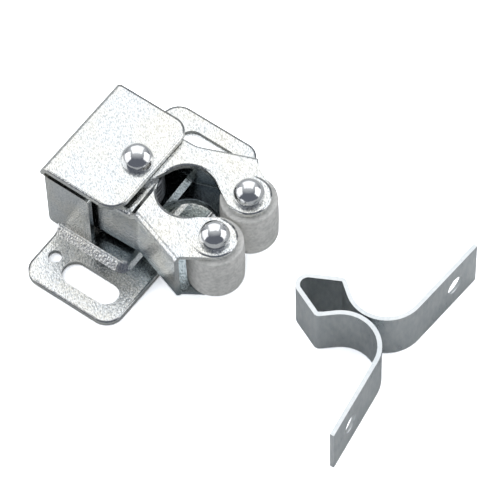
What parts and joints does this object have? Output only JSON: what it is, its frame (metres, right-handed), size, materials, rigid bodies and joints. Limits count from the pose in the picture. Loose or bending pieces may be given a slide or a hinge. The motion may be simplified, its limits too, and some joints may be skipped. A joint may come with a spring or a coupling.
{
  "type": "double roller catch",
  "caption": "Sheet-metal cabinet catch with sprung twin roller arms on one pivot and a folded arrow-head striker on edge.",
  "frame": {"origin": "pivot axis of the two arms, in the mounting plane under the ears", "axes": "+Z along the pivot away from the mounting surface, the rollers and the striker towards -Y, +X to the right seen from the rollers"},
  "size_m": [0.0453, 0.0695, 0.0202],
  "materials": {
    "zinc_plate": "bright zinc plate",
    "roller": "matte moulded",
    "rivet": "polished",
    "spring_wire": "drawn wire",
    "striker": "satin zinc plate"
  },
  "bodies": {
    "housing": {"housing": "zinc_plate", "pivot_rivet": "rivet", "closing_spring": "spring_wire", "strike": "striker"},
    "left_arm": {"left_arm": "zinc_plate", "left_roller_rivet": "rivet"},
    "right_arm": {"right_arm": "zinc_plate", "right_roller_rivet": "rivet"},
    "left_roller": {"left_roller": "roller"},
    "right_roller": {"right_roller": "roller"}
  },
  "joints": [
    {"name": "left_arm_swing", "type": "hinge", "parent": "housing", "child": "left_arm", "pos_m": [0, 0, 0.01002], "axis": [0, 0, 1], "range_deg": [-16, 0], "stiffness_Nm_per_rad": 0.08, "springref_deg": 14.32, "deforming": ["closing_spring"]},
    {"name": "right_arm_swing", "type": "hinge", "parent": "housing", "child": "right_arm", "pos_m": [0, 0, 0.01002], "axis": [0, 0, 1], "range_deg": [0, 16], "stiffness_Nm_per_rad": 0.08, "springref_deg": -14.32, "deforming": ["closing_spring"]},
    {"name": "left_roller_spin", "type": "hinge", "parent": "left_arm", "child": "left_roller", "pos_m": [-0.00447, -0.01967, 0.01002], "axis": [0, 0, 1], "continuous": true},
    {"name": "right_roller_spin", "type": "hinge", "parent": "right_arm", "child": "right_roller", "pos_m": [0.00583, -0.01931, 0.01002], "axis": [0, 0, 1], "continuous": true}
  ]
}
